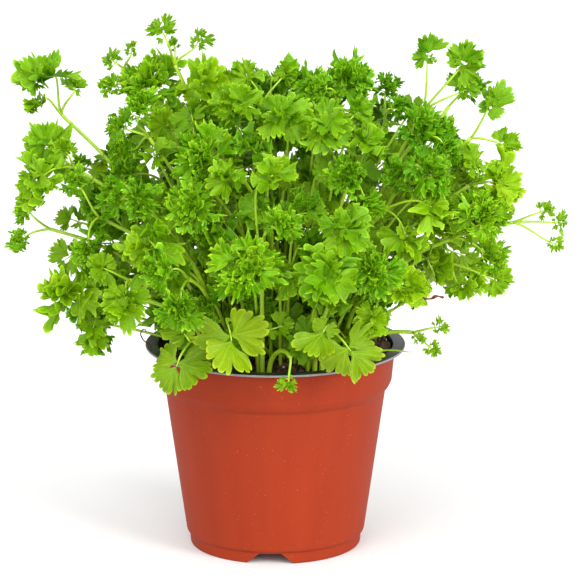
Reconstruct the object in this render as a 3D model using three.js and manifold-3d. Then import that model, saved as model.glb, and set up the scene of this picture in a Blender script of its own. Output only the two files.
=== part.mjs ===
// Potted parsley: a plastic nursery pot, its soil, and the leaves of a bushy curly parsley.
// Millimetres, +Z up. The pot stands on z = 0 and the origin is the middle of the object's footprint.
// Every leaf grew as one piece: a petiole, the stalks that fork from its end, and a lobed head on
// each stalk. Tables of places are measured from the pot's own axis.

import * as THREE from 'three';
import { mergeVertices } from 'three/addons/utils/BufferGeometryUtils.js';
import Module from 'manifold-3d';

const wasm = await Module();
wasm.setup();

// ---- driving dimensions -------------------------------------------------------------------------

const POT_AXIS_X = -7; // the foliage reaches further to the right, so the pot stands left of the origin
const POT_SIDES = 32;
const WALL = 1.1;
const POT_HEIGHT = 95;
const FLANGE_R = 60;
const FLANGE_THICKNESS = 1.2;
const COLLAR_TOP_R = 55.4;
const COLLAR_FOOT_R = 53.9;
const COLLAR_FOOT_Z = 78.6;
const COLLAR_CURVE = { inset: 1.1, drop: 2.4 }; // the collar curves in over this much at its foot
const BODY_TOP_R = 51;
const BODY_TOP_Z = 74;
const BODY_FOOT_R = 41.4;
const BODY_FOOT_Z = 7.4;
const SHOULDER = 2; // height of the curve between the foot ring and the body
const FOOT_R = 39.9;
const FOOT_ROUND = 0.6;
const FOOT_INNER_R = 34.2;
const FOOT_DRAFT = 0.4;
const RECESS = 5.2; // the base plate hangs this far above what the foot ring stands on
const NOTCH = { count: 3, first: -93.5, topWidth: 9.8, footWidth: 24.6, length: 12 };
const DRAIN = { count: 6, r: 3.4, ringR: 22, centreR: 4, sides: 12 };

const GAP = 0.35; // clearance between pieces that rest against each other
const SOIL_EDGE_Z = 88;
const SOIL_TOP_Z = 92.5;
const SOIL_SHOULDER_Z = 88.6; // where the surface starts to fall to the pot's wall

// A head's outline, in units of its span: how far its lobes reach, how deep the notches between
// them cut, the neck where the stalk comes in, and how far that is from the middle of the head.
const HEAD = { reach: 0.64, sideLoss: 0.16, notch: 0.2, neck: 0.07, neckHalf: 0.05, inset: 0.2 };
const LOBES = {
  three: { count: 3, spread: 74, half: 24 }, // spread: bearing of the outer lobes; half: half a lobe
  five: { count: 5, spread: 112, half: 17 },
};
const FIVE_LOBES_SPAN = 27; // heads at least this wide have five lobes

const PETIOLE = { r: 1.25, sides: 4, steps: 5 };
const STALK = { r: 0.85, sides: 3, steps: 1 };
const CLEARANCE = 0.3; // between one leaf and the next
const CROWN_PULL = 0.34; // how far under its fork's side a leaf looks for its crown
const FOOT_RINGS = [2.8, 5.6, 8.4]; // how far from its crown's middle a petiole may leave the soil
const FOOT_PLACES = 8; // on each ring
const RISES = [0.42, 0.58, 0.3]; // how much of its length a petiole spends going straight up
const BEND = 0.33; // how much of its length a petiole spends arriving at its fork
const UPRIGHT = 0.8; // how far an arriving petiole keeps its own lean over its heads' pull
const MAX_SHIFTS = 60; // places tried for a leaf whose own place is taken
const SHIFT_GROWTH = 1.9;

// The five habits of leaf: colour, and how thick the ruffled or flat head is.
const HABITS = {
  curly: { color: 0x5f9a12, thickness: 3.0 },
  fan: { color: 0x86b428, thickness: 2.2 },
  young: { color: 0xa3be2c, thickness: 2.0 },
  shade: { color: 0x47660c, thickness: 2.0 },
  sprig: { color: 0x7fa81e, thickness: 1.9 },
};

// Crowns: the places where the young plants stand in the soil, from which the petioles rise.
const CROWNS = [
  [0, 0], [-33, 6], [-25, -22], [-6, -33], [14, -31], [30, -15], [33, 6], [21, 27], [-3, 33], [-24, 26],
];

// ---- the leaves ---------------------------------------------------------------------------------
// fork: where the petiole ends and its stalks part.
// heads: x, y, z of the head's middle, its span, the tilt of its face from level, and the bearing
// that the face looks towards (0 = +X, 90 = +Y, 180 = -X, 270 = -Y).

const LEAVES = [
  // left, from the top down
  { habit: 'fan', fork: [-95, 10, 202], heads: [
    [-109, 4, 219, 32, 22, 200], [-93, 10, 216, 20, 25, 290], [-110, 2, 208, 20, 50, 215]] },
  { habit: 'fan', fork: [-90, -8, 180], heads: [
    [-107, 0, 190, 28, 68, 250], [-111, -22, 176, 28, 62, 238], [-98, -14, 192, 18, 60, 260]] },
  { habit: 'curly', fork: [-78, -24, 160], heads: [
    [-91, -22, 177, 19, 50, 250], [-85, -36, 149, 20, 75, 225]] },
  { habit: 'curly', fork: [-102, 2, 150], heads: [
    [-115, -1, 161, 20, 60, 225], [-118, 3, 145, 17, 65, 215]] },
  { habit: 'shade', fork: [-82, 27, 144], heads: [
    [-96, 30, 149, 19, 60, 255], [-97, 33, 131, 22, 75, 262], [-86, 24, 162, 24, 65, 245]] },
  { habit: 'fan', fork: [-83, -30, 124], heads: [
    [-99, -35, 128, 34, 58, 238], [-86, -34, 111, 26, 58, 255]] },
  { habit: 'fan', fork: [-64, -42, 136], heads: [
    [-79, -43, 144, 22, 60, 245], [-69, -57, 129, 28, 55, 245]] },
  { habit: 'fan', fork: [-46, -50, 152], heads: [[-57, -65, 157, 33, 50, 255]] },
  { habit: 'curly', fork: [-38, -58, 140], heads: [
    [-50, -74, 149, 24, 60, 250], [-42, -78, 133, 26, 65, 258]] },
  { habit: 'young', fork: [-38, -60, 112], heads: [
    [-43, -72, 122, 23, 65, 262], [-46, -70, 101, 28, 72, 250]] },

  // front
  { habit: 'young', fork: [-19, -58, 118], heads: [[-18, -73, 111, 34, 62, 265]] },
  { habit: 'curly', fork: [-6, -66, 152], heads: [
    [-13, -92, 152, 34, 60, 262], [3, -78, 170, 24, 45, 270]] },
  { habit: 'shade', fork: [-2, -40, 112], heads: [[1, -50, 117, 17, 68, 270]] },
  { habit: 'sprig', fork: [6, -64, 104], heads: [[6, -69, 96, 12, 80, 272]] },
  { habit: 'young', fork: [24, -62, 118], heads: [
    [20, -78, 119, 26, 60, 270], [36, -75, 110, 27, 66, 280]] },
  { habit: 'fan', fork: [26, -66, 158], heads: [
    [22, -95, 149, 33, 62, 278], [33, -78, 168, 27, 45, 280]] },
  { habit: 'curly', fork: [34, -44, 176], heads: [
    [33, -62, 187, 25, 50, 278], [43, -62, 174, 20, 60, 285]] },
  { habit: 'curly', fork: [38, -58, 146], heads: [[44, -78, 148, 27, 62, 285]] },
  { habit: 'fan', fork: [44, -46, 130], heads: [
    [42, -66, 123, 20, 60, 285], [60, -60, 137, 28, 64, 292]] },
  { habit: 'fan', fork: [50, -38, 164], heads: [
    [60, -54, 158, 26, 55, 298], [72, -50, 172, 23, 45, 300]] },
  { habit: 'curly', fork: [-28, -38, 176], heads: [
    [-35, -46, 193, 34, 50, 260], [-38, -64, 174, 27, 58, 260]] },
  { habit: 'fan', fork: [-14, -44, 182], heads: [[-22, -62, 187, 25, 42, 268]] },
  { habit: 'fan', fork: [6, -12, 172], heads: [[5, -22, 181, 20, 58, 270]] },

  // right, from low to high
  { habit: 'sprig', fork: [62, -22, 106], heads: [
    [76, -25, 111, 13, 60, 285], [73, -28, 101, 12, 65, 285], [66, -32, 107, 10, 50, 270]] },
  { habit: 'fan', fork: [78, 2, 132], heads: [
    [88, 0, 123, 20, 78, 285], [104, 2, 126, 20, 72, 300]] },
  { habit: 'shade', fork: [66, 18, 142], heads: [
    [78, 20, 145, 23, 66, 285], [87, 23, 134, 20, 70, 290]] },
  { habit: 'curly', fork: [80, -20, 150], heads: [
    [98, -22, 143, 25, 66, 315], [94, -38, 167, 27, 58, 305]] },
  { habit: 'sprig', fork: [108, 6, 152], heads: [
    [126, 4, 159, 13, 70, 280], [133, 9, 152, 13, 65, 290], [131, 6, 143, 14, 70, 280]] },
  { habit: 'fan', fork: [87, -6, 172], heads: [
    [106, -5, 173, 29, 62, 315], [91, -15, 187, 23, 58, 300]] },
  { habit: 'curly', fork: [60, -30, 178], heads: [
    [72, -44, 184, 28, 58, 295], [56, -40, 182, 20, 52, 285]] },
  { habit: 'curly', fork: [62, -8, 188], heads: [
    [70, -11, 199, 30, 40, 300], [79, -26, 193, 20, 60, 305]] },
  { habit: 'curly', fork: [47, 8, 196], heads: [
    [52, 14, 215, 17, 62, 280], [57, 2, 207, 19, 40, 290]] },
  { habit: 'curly', fork: [80, 20, 202], heads: [[90, 22, 214, 21, 60, 285]] },
  { habit: 'fan', fork: [88, 10, 190], heads: [
    [101, 12, 208, 24, 62, 290], [108, 12, 188, 20, 60, 300]] },
  { habit: 'fan', fork: [63, 0, 207], heads: [
    [67, -2, 238, 21, 75, 275], [84, -3, 234, 26, 66, 285], [85, 0, 220, 19, 60, 285]] },

  // top
  { habit: 'sprig', fork: [-42, 2, 226], heads: [
    [-52, -4, 244, 20, 62, 255], [-35, 1, 239, 17, 66, 272], [-47, 6, 236, 11, 50, 250]] },
  { habit: 'curly', fork: [24, 0, 204], heads: [
    [35, 0, 221, 28, 35, 280], [19, -12, 219, 25, 40, 265]] },
  { habit: 'fan', fork: [26, -22, 196], heads: [
    [39, -24, 211, 20, 50, 285], [22, -46, 207, 27, 50, 270]] },
  { habit: 'fan', fork: [-4, -20, 198], heads: [
    [7, -42, 210, 28, 50, 262], [-18, -33, 214, 27, 48, 266]] },
  { habit: 'fan', fork: [-5, 8, 206], heads: [
    [5, 15, 222, 18, 60, 270], [-14, 5, 223, 21, 58, 272]] },
  { habit: 'fan', fork: [-38, -2, 190], heads: [
    [-33, -7, 221, 27, 60, 266], [-51, -9, 202, 23, 58, 258]] },
  { habit: 'curly', fork: [-55, 18, 204], heads: [
    [-58, 15, 218, 32, 38, 250], [-76, 9, 216, 17, 45, 235]] },
  { habit: 'sprig', fork: [-67, 26, 217], heads: [
    [-66, 25, 229, 12, 62, 265], [-75, 24, 224, 13, 60, 250]] },
  { habit: 'curly', fork: [-57, -16, 194], heads: [
    [-61, -27, 212, 24, 45, 250], [-71, -12, 202, 19, 62, 240], [-70, -6, 189, 20, 68, 262]] },
  { habit: 'curly', fork: [-55, -4, 166], heads: [
    [-71, -9, 174, 24, 50, 250], [-53, -14, 180, 18, 58, 262]] },
  { habit: 'curly', fork: [-50, -34, 160], heads: [
    [-68, -36, 170, 24, 55, 245], [-56, -57, 172, 25, 56, 252]] },

  // inside, seen through the gaps
  { habit: 'shade', fork: [-30, 6, 186], heads: [[-37, 10, 202, 22, 52, 264]] },
  { habit: 'shade', fork: [-8, 10, 144], heads: [[-6, 10, 158, 26, 72, 270]] },
  { habit: 'shade', fork: [38, 18, 166], heads: [
    [52, 24, 178, 27, 70, 278], [35, 18, 186, 19, 66, 270]] },

  // back
  { habit: 'curly', fork: [-58, 56, 146], heads: [
    [-80, 66, 156, 30, 52, 140], [-58, 80, 146, 28, 60, 125], [-66, 54, 176, 26, 40, 140],
    [-92, 44, 168, 24, 50, 160]] },
  { habit: 'fan', fork: [-32, 66, 166], heads: [
    [-38, 92, 168, 30, 55, 110], [-14, 82, 184, 27, 40, 95], [-52, 72, 188, 26, 38, 120],
    [-34, 60, 202, 26, 30, 110]] },
  { habit: 'curly', fork: [2, 68, 144], heads: [
    [2, 96, 152, 32, 58, 90], [-24, 92, 136, 27, 66, 105], [26, 89, 160, 28, 52, 75],
    [10, 74, 178, 24, 42, 85]] },
  { habit: 'fan', fork: [36, 64, 164], heads: [
    [44, 88, 180, 29, 45, 65], [64, 70, 168, 28, 50, 45], [26, 70, 196, 26, 32, 80],
    [52, 56, 192, 26, 35, 55]] },
  { habit: 'curly', fork: [66, 46, 146], heads: [
    [88, 58, 154, 29, 56, 35], [86, 34, 172, 27, 48, 20], [64, 74, 142, 26, 62, 55],
    [76, 42, 188, 24, 40, 35]] },
  { habit: 'young', fork: [16, 70, 112], heads: [
    [14, 92, 108, 30, 66, 92], [40, 84, 114, 27, 64, 68], [-12, 84, 118, 26, 60, 100]] },
  { habit: 'fan', fork: [-48, 58, 116], heads: [
    [-54, 80, 114, 30, 64, 120], [-76, 58, 122, 28, 60, 145]] },
  { habit: 'fan', fork: [68, 30, 118], heads: [
    [90, 34, 120, 27, 66, 15], [76, 58, 116, 27, 64, 45]] },
  { habit: 'curly', fork: [0, 34, 188], heads: [
    [8, 52, 206, 28, 30, 80], [-22, 46, 208, 27, 28, 110], [34, 40, 206, 27, 30, 60]] },
];

// ---- solids -------------------------------------------------------------------------------------

const point = (x, y, z) => new THREE.Vector3(x, y, z);
const radians = THREE.MathUtils.degToRad;

/** A closed three.js geometry as a manifold solid with its faces pointing out. */
function toSolid(geometry) {
  const bare = new THREE.BufferGeometry();
  bare.setAttribute('position', geometry.getAttribute('position'));
  if (geometry.index) bare.setIndex(geometry.index);
  const merged = mergeVertices(bare, 1e-4);
  const vertProperties = new Float32Array(merged.getAttribute('position').array);
  const triVerts = new Uint32Array(merged.index.array);
  if (signedVolume(vertProperties, triVerts) < 0) triVerts.reverse();
  return new wasm.Manifold(new wasm.Mesh({ numProp: 3, vertProperties, triVerts }));
}

function signedVolume(vertices, triangles) {
  const [a, b, c] = [point(), point(), point()];
  let sum = 0;
  for (let i = 0; i < triangles.length; i += 3) {
    a.fromArray(vertices, 3 * triangles[i]);
    b.fromArray(vertices, 3 * triangles[i + 1]);
    c.fromArray(vertices, 3 * triangles[i + 2]);
    sum += a.dot(b.cross(c)) / 6;
  }
  return sum;
}

function toGeometry(solid) {
  const mesh = solid.getMesh();
  const geometry = new THREE.BufferGeometry();
  geometry.setAttribute('position', new THREE.BufferAttribute(mesh.vertProperties, 3));
  geometry.setIndex(new THREE.BufferAttribute(mesh.triVerts, 1));
  geometry.computeVertexNormals();
  return geometry;
}

/** A round-section tube along a curve. */
function tube(curve, { r, sides, steps }) {
  const section = new THREE.Shape();
  for (let i = 0; i < sides; i++) {
    const angle = (2 * Math.PI * i) / sides;
    if (i === 0) section.moveTo(r * Math.cos(angle), r * Math.sin(angle));
    else section.lineTo(r * Math.cos(angle), r * Math.sin(angle));
  }
  section.closePath();
  return toSolid(new THREE.ExtrudeGeometry(section, { steps, extrudePath: curve, bevelEnabled: false }));
}

/** A solid of revolution about Z from [r, z] pairs that start and end on the axis. */
function turned(profile) {
  const points = profile.map(([r, z]) => new THREE.Vector2(r, z));
  return toSolid(new THREE.LatheGeometry(points, POT_SIDES).rotateX(Math.PI / 2));
}

// ---- pot and soil -------------------------------------------------------------------------------

// The inside of the pot from the base plate up to the rim.
const INSIDE = [
  [FOOT_R - WALL, RECESS + WALL],
  [BODY_FOOT_R - WALL, BODY_FOOT_Z + 0.6],
  [BODY_TOP_R - WALL, BODY_TOP_Z],
  [COLLAR_FOOT_R - WALL - COLLAR_CURVE.inset, COLLAR_FOOT_Z - COLLAR_CURVE.drop + 0.4],
  [COLLAR_FOOT_R - WALL, COLLAR_FOOT_Z],
  [COLLAR_TOP_R - WALL, POT_HEIGHT],
];

function potSolid() {
  const outside = [
    [0, RECESS],
    [FOOT_INNER_R, RECESS],
    [FOOT_INNER_R + FOOT_DRAFT, 0],
    [FOOT_R - FOOT_DRAFT - FOOT_ROUND, 0],
    [FOOT_R - FOOT_DRAFT, FOOT_ROUND],
    [FOOT_R, BODY_FOOT_Z - SHOULDER],
    [BODY_FOOT_R - 0.3, BODY_FOOT_Z - 0.5 * SHOULDER],
    [BODY_FOOT_R, BODY_FOOT_Z],
    [BODY_TOP_R, BODY_TOP_Z],
    [COLLAR_FOOT_R - COLLAR_CURVE.inset, COLLAR_FOOT_Z - COLLAR_CURVE.drop],
    [COLLAR_FOOT_R, COLLAR_FOOT_Z],
    [COLLAR_TOP_R, POT_HEIGHT - FLANGE_THICKNESS],
    [FLANGE_R, POT_HEIGHT - FLANGE_THICKNESS],
    [FLANGE_R, POT_HEIGHT],
  ];
  const inside = [...INSIDE].reverse();
  let pot = turned([...outside, ...inside, [0, RECESS + WALL]]);
  for (let i = 0; i < NOTCH.count; i++) {
    pot = pot.subtract(notchCutter(NOTCH.first + (360 * i) / NOTCH.count));
  }
  for (const cutter of drainCutters()) pot = pot.subtract(cutter);
  return pot;
}

/** A trapezoid prism that takes the foot ring away at one bearing, up to the base plate. */
function notchCutter(bearing) {
  const outline = new THREE.Shape();
  outline.moveTo(-NOTCH.footWidth / 2, -1);
  outline.lineTo(NOTCH.footWidth / 2, -1);
  outline.lineTo(NOTCH.topWidth / 2, RECESS);
  outline.lineTo(-NOTCH.topWidth / 2, RECESS);
  outline.closePath();
  const geometry = new THREE.ExtrudeGeometry(outline, { depth: NOTCH.length, bevelEnabled: false });
  geometry.rotateX(Math.PI / 2);
  geometry.translate(0, -FOOT_INNER_R + NOTCH.length / 2, 0);
  geometry.rotateZ(radians(bearing + 90));
  return toSolid(geometry);
}

function drainCutters() {
  const hole = (r, x, y) => {
    const cylinder = new THREE.CylinderGeometry(r, r, 4 * WALL, DRAIN.sides);
    return toSolid(cylinder.rotateX(Math.PI / 2).translate(x, y, RECESS + WALL / 2));
  };
  const holes = [hole(DRAIN.centreR, 0, 0)];
  for (let i = 0; i < DRAIN.count; i++) {
    const angle = (2 * Math.PI * i) / DRAIN.count;
    holes.push(hole(DRAIN.r, DRAIN.ringR * Math.cos(angle), DRAIN.ringR * Math.sin(angle)));
  }
  return holes;
}

// The soil's surface: nearly level, a little higher in the middle.
const SOIL_SURFACE = [
  [0, SOIL_TOP_Z],
  [24, SOIL_TOP_Z - 0.8],
  [40, SOIL_EDGE_Z + 2],
  [49, SOIL_SHOULDER_Z],
];

function soilSolid() {
  const edge = potInnerRadius(SOIL_EDGE_Z) - GAP;
  const wall = INSIDE.slice(0, -1).map(([r, z]) => [r - GAP, z]);
  wall[0] = [wall[0][0], RECESS + WALL + GAP];
  wall[1] = [wall[1][0], wall[1][1] + GAP];
  const surface = [...SOIL_SURFACE].reverse();
  return turned([[0, RECESS + WALL + GAP], ...wall, [edge, SOIL_EDGE_Z], ...surface]);
}

function potInnerRadius(z) {
  const [[r0, z0], [r1, z1]] = INSIDE.slice(-2);
  return r0 + ((r1 - r0) * (z - z0)) / (z1 - z0);
}

function soilHeight(r) {
  for (let i = 1; i < SOIL_SURFACE.length; i++) {
    const [r0, z0] = SOIL_SURFACE[i - 1];
    const [r1, z1] = SOIL_SURFACE[i];
    if (r <= r1) return z0 + ((z1 - z0) * (r - r0)) / (r1 - r0);
  }
  return SOIL_SHOULDER_Z;
}

// ---- leaves -------------------------------------------------------------------------------------

/** The lobed outline of a head, in units of its span, with its stalk arriving at 0, 0 along +x. */
function headOutline({ count, spread, half }) {
  const polar = (reach, bearing) => [
    reach * Math.cos(radians(bearing)),
    reach * Math.sin(radians(bearing)),
  ];
  const step = (2 * spread) / (count - 1);
  const outline = [[-HEAD.neck, -HEAD.neckHalf]];
  for (let i = 0; i < count; i++) {
    const middle = -spread + i * step;
    const reach = HEAD.reach - HEAD.sideLoss * Math.abs(middle / spread);
    if (i > 0) outline.push(polar(HEAD.notch, middle - step / 2));
    outline.push(polar(reach, middle - half), polar(reach, middle + half));
  }
  outline.push([-HEAD.neck, HEAD.neckHalf]);
  return outline;
}

/** One head: a flat lobed plate whose stalk end is its own origin. */
function headSolid(head, thickness) {
  const shape = new THREE.Shape();
  const lobes = head.span >= FIVE_LOBES_SPAN ? LOBES.five : LOBES.three;
  headOutline(lobes).forEach(([x, y], i) => {
    if (i === 0) shape.moveTo(x * head.span, y * head.span);
    else shape.lineTo(x * head.span, y * head.span);
  });
  shape.closePath();
  const geometry = new THREE.ExtrudeGeometry(shape, { depth: thickness, bevelEnabled: false });
  geometry.translate(0, 0, -thickness / 2);
  const across = new THREE.Vector3().crossVectors(head.face, head.forward);
  const pose = new THREE.Matrix4().makeBasis(head.forward, across, head.face);
  geometry.applyMatrix4(pose.setPosition(head.stalkEnd));
  return toSolid(geometry);
}

/** Works out where a head's face looks, where it points, and where its stalk comes in. */
function layHead([x, y, z, span, tilt, bearing], fork, shift) {
  const middle = point(x, y, z).add(shift);
  const [t, b] = [radians(tilt), radians(bearing)];
  const face = point(Math.sin(t) * Math.cos(b), Math.sin(t) * Math.sin(b), Math.cos(t));
  const forward = middle.clone().sub(fork).projectOnPlane(face).normalize();
  const stalkEnd = middle.clone().addScaledVector(forward, -HEAD.inset * span);
  return { middle, span, face, forward, stalkEnd };
}

/** The heads of a leaf with the stalks that join them to its fork. */
function layLeaf(leaf, shift) {
  const fork = point(...leaf.fork).add(shift);
  const heads = leaf.heads.map((head) => layHead(head, fork, shift));
  const toHeads = heads.reduce((sum, head) => sum.add(head.middle), point()).divideScalar(heads.length);
  const lean = point(fork.x * CROWN_PULL, fork.y * CROWN_PULL, SOIL_TOP_Z);
  const upright = fork.clone().sub(lean).setLength(UPRIGHT);
  const arrive = toHeads.sub(fork).normalize().add(upright).normalize();
  const start = fork.clone().addScaledVector(arrive, -STALK.r);
  const pieces = heads.flatMap((head) => [
    tube(new THREE.LineCurve3(start, head.stalkEnd), STALK),
    headSolid(head, HABITS[leaf.habit].thickness),
  ]);
  return { fork, arrive, lean, blades: pieces.reduce((sum, piece) => sum.add(piece)) };
}

/** Where a petiole leaves the soil: on a ring about the crown that is nearest under its lean. */
function petioleFoot({ fork, lean }, ring, turn) {
  const distance = ([x, y]) => Math.hypot(x - lean.x, y - lean.y);
  const [x, y] = CROWNS.reduce((best, crown) => (distance(crown) < distance(best) ? crown : best));
  const bearing = Math.atan2(fork.y - y, fork.x - x) + turn;
  const foot = point(x + ring * Math.cos(bearing), y + ring * Math.sin(bearing), 0);
  foot.z = soilHeight(Math.hypot(foot.x, foot.y) - PETIOLE.r) + GAP;
  return foot;
}

/** A petiole that rises straight out of the soil and bends over towards its leaf's heads. */
function petioleSolid({ fork, arrive }, foot, rise) {
  const length = fork.distanceTo(foot);
  return tube(new THREE.CubicBezierCurve3(
    foot,
    foot.clone().add(point(0, 0, rise * length)),
    fork.clone().addScaledVector(arrive, -BEND * length),
    fork,
  ), PETIOLE);
}

/** Shifts tried in turn for a leaf: none first, then ever wider ones in every direction. */
function shiftOf(i) {
  const up = Math.sin(2.1 * i);
  return point(Math.cos(2.4 * i), Math.sin(2.4 * i), up).setLength(SHIFT_GROWTH * Math.cbrt(i));
}

/** The feet and rises tried in turn for a petiole. */
function* petioles(laid) {
  for (const rise of RISES) {
    for (let place = 0; place < FOOT_PLACES; place++) {
      const turn = (Math.PI * Math.ceil(place / 2) * (place % 2 ? 1 : -1)) / (FOOT_PLACES / 2);
      for (const ring of FOOT_RINGS) yield petioleSolid(laid, petioleFoot(laid, ring, turn), rise);
    }
  }
}

function boxesNear(a, b) {
  const [p, q] = [a.boundingBox(), b.boundingBox()];
  return [0, 1, 2].every((k) => p.min[k] - q.max[k] < CLEARANCE && q.min[k] - p.max[k] < CLEARANCE);
}

function standsClear(solid, others) {
  return others.every((other) => !boxesNear(solid, other)
    || solid.minGap(other, CLEARANCE) >= CLEARANCE);
}

/** Grows a leaf where its table row says, moved a little if another piece is in the way. */
function growClear(leaf, others) {
  for (let i = 0; i < MAX_SHIFTS; i++) {
    const laid = layLeaf(leaf, shiftOf(i));
    if (!standsClear(laid.blades, others)) continue;
    for (const petiole of petioles(laid)) {
      if (standsClear(petiole, others)) return petiole.add(laid.blades);
    }
  }
  throw new Error(`no room for the ${leaf.habit} leaf at ${leaf.fork}`);
}

// ---- the object ---------------------------------------------------------------------------------

const parsley = new THREE.Group();
parsley.position.x = POT_AXIS_X;

function addPiece(name, solid, look) {
  const mesh = new THREE.Mesh(toGeometry(solid), new THREE.MeshStandardMaterial({ metalness: 0, ...look }));
  mesh.name = name;
  parsley.add(mesh);
}

const pot = potSolid();
const soil = soilSolid();
addPiece('pot', pot, { color: 0xba4728, roughness: 0.45 });
addPiece('potting_soil', soil, { color: 0x2b1c12, roughness: 1 });

const placed = [pot, soil];
const counts = {};
for (const leaf of LEAVES) {
  const solid = growClear(leaf, placed);
  placed.push(solid);
  counts[leaf.habit] = (counts[leaf.habit] ?? 0) + 1;
  const number = String(counts[leaf.habit]).padStart(2, '0');
  addPiece(`${leaf.habit}_leaf_${number}`, solid, { color: HABITS[leaf.habit].color, roughness: 0.55 });
}

export default parsley;
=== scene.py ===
"""The looks of a potted curly parsley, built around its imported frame.

Each leaf's skeleton (petiole, fork, stalks, heads) is read from its CAD node, and smooth stems and
thin lobed leaflets grown along it replace the node. The pot and its soil are rebuilt finely from
their own nodes' sections. Everything is in metres.
"""

import math
from collections import defaultdict, namedtuple

import bmesh
import bpy
import numpy as np
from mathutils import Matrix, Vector, noise


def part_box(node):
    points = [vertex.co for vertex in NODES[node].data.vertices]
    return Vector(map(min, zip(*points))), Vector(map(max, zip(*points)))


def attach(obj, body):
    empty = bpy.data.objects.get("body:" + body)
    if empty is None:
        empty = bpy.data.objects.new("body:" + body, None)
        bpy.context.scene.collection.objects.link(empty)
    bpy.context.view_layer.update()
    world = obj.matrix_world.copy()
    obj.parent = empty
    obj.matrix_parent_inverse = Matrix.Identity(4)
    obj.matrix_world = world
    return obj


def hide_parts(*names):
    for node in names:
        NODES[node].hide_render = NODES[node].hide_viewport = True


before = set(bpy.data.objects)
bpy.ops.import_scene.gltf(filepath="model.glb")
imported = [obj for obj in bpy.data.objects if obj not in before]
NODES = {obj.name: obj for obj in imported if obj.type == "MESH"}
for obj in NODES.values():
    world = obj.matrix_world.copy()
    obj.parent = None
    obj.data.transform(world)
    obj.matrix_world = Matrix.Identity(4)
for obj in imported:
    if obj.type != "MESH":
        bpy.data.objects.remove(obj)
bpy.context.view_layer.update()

MM = 0.001
UP = np.array([0.0, 0.0, 1.0])
LEVEL = np.array([1, 1, 0])  # takes the height out of a vector
FULL_TURN = 2 * math.pi

pot_low, pot_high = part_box("pot")
POT_AXIS = np.array([(pot_low.x + pot_high.x) / 2, (pot_low.y + pot_high.y) / 2, 0.0])


# ---- small vector tools ----

def unit(v):
    return v / np.linalg.norm(v)


def smooth(x, low, high):
    """0 below low, 1 above high, and a soft step between them."""
    t = np.clip((x - low) / (high - low), 0, 1)
    return t * t * (3 - 2 * t)


def turned(v, axis, angle):
    """v turned about a unit axis."""
    c, s = math.cos(angle), math.sin(angle)
    return v * c + np.cross(axis, v) * s + axis * (axis @ v) * (1 - c)


def bezier(a, b, c, d, steps):
    """Points along the cubic curve from a to d with handles b and c."""
    t = np.linspace(0, 1, steps + 1)[:, None]
    return a * (1 - t) ** 3 + 3 * b * t * (1 - t) ** 2 + 3 * c * t * t * (1 - t) + d * t ** 3


def spline(knots, steps):
    """A smooth path through knots."""
    knots = np.array(knots)
    padded = np.vstack([2 * knots[0] - knots[1], knots, 2 * knots[-1] - knots[-2]])
    path = []
    for a, b, c, d in zip(padded, padded[1:], padded[2:], padded[3:]):
        t = np.linspace(0, 1, steps, endpoint=False)[:, None]
        bow = 2 * a - 5 * b + 4 * c - d + t * (3 * (b - c) + d - a)
        path.append(b + 0.5 * t * (c - a + t * bow))
    return np.concatenate(path + [knots[-1:]])


def ring_angles(count):
    """As many bearings, evenly round a full turn."""
    return np.linspace(0, FULL_TURN, count, endpoint=False)


# ---- mesh tools ----

CREASE = math.radians(75)  # a fold sharper than this isn't shaded smooth


def new_object(name, data):
    """An object in the scene."""
    made = bpy.data.objects.new(name, data)
    bpy.context.scene.collection.objects.link(made)
    return made


class Sheaf:
    """Collects vertices, triangles and per-vertex numbers, and turns them into one object.

    Materials read the numbers: reach and across are a point's place on its leaflet, from base to
    margin and from side to side, tone is how yellow and bright it is, under marks the lower skin.
    """

    LOOKS = ("reach", "across", "tone", "under")

    def __init__(self):
        self.points = []
        self.triangles = []
        self.looks = []
        self.materials = []
        self.count = 0

    def add(self, points, triangles, looks, material=0):
        """looks has a column for each name in LOOKS, or is one row for all the points."""
        self.points.append(points)
        self.triangles.append(triangles + self.count)
        self.looks.append(np.broadcast_to(looks, (len(points), len(self.LOOKS))))
        self.materials.append(np.full(len(triangles), material))
        self.count += len(points)

    def build(self, name, *materials):
        """One smooth-shaded object of all that was added, creased along the leaflets' margins."""
        points = np.concatenate(self.points)
        triangles = np.concatenate(self.triangles)
        looks = np.concatenate(self.looks)
        mesh = bpy.data.meshes.new(name)
        mesh.from_pydata(points, [], triangles)
        mesh.polygons.foreach_set("material_index", np.concatenate(self.materials).astype(np.int32))
        for column, look in enumerate(self.LOOKS):
            attribute = mesh.attributes.new(look, "FLOAT", "POINT")
            attribute.data.foreach_set("value", looks[:, column].astype(np.float32))
        for material in materials:
            mesh.materials.append(material)
        mesh.validate()
        mesh.shade_smooth()
        mesh.set_sharp_from_angle(angle=CREASE)
        sharp = np.empty(len(mesh.edges), bool)
        mesh.edges.foreach_get("use_edge_sharp", sharp)
        edge = np.empty(triangles.size, np.int32)
        mesh.loops.foreach_get("edge_index", edge)
        under = looks[triangles, 3].max(1)  # whether any point of a triangle is on the lower skin
        margins = np.bincount(edge, np.repeat(under, 3), len(sharp)) == 1
        mesh.edges.foreach_set("use_edge_sharp", sharp | margins)
        return new_object(name, mesh)


def vertex_normals(points, triangles):
    """The mean normal at each point, weighted by the triangles' areas."""
    a, b, c = (points[triangles[:, k]] for k in range(3))
    face = np.cross(b - a, c - a)
    normals = np.zeros_like(points)
    for k in range(3):
        np.add.at(normals, triangles[:, k], face)
    return normals / (np.linalg.norm(normals, axis=1, keepdims=True) + 1e-12)


def fan(hub, ring, sides):
    """The triangles between one point and the ring of points from index ring on."""
    j = np.arange(sides)
    return np.stack([np.full(sides, hub), ring + j, ring + (j + 1) % sides], 1)


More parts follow.
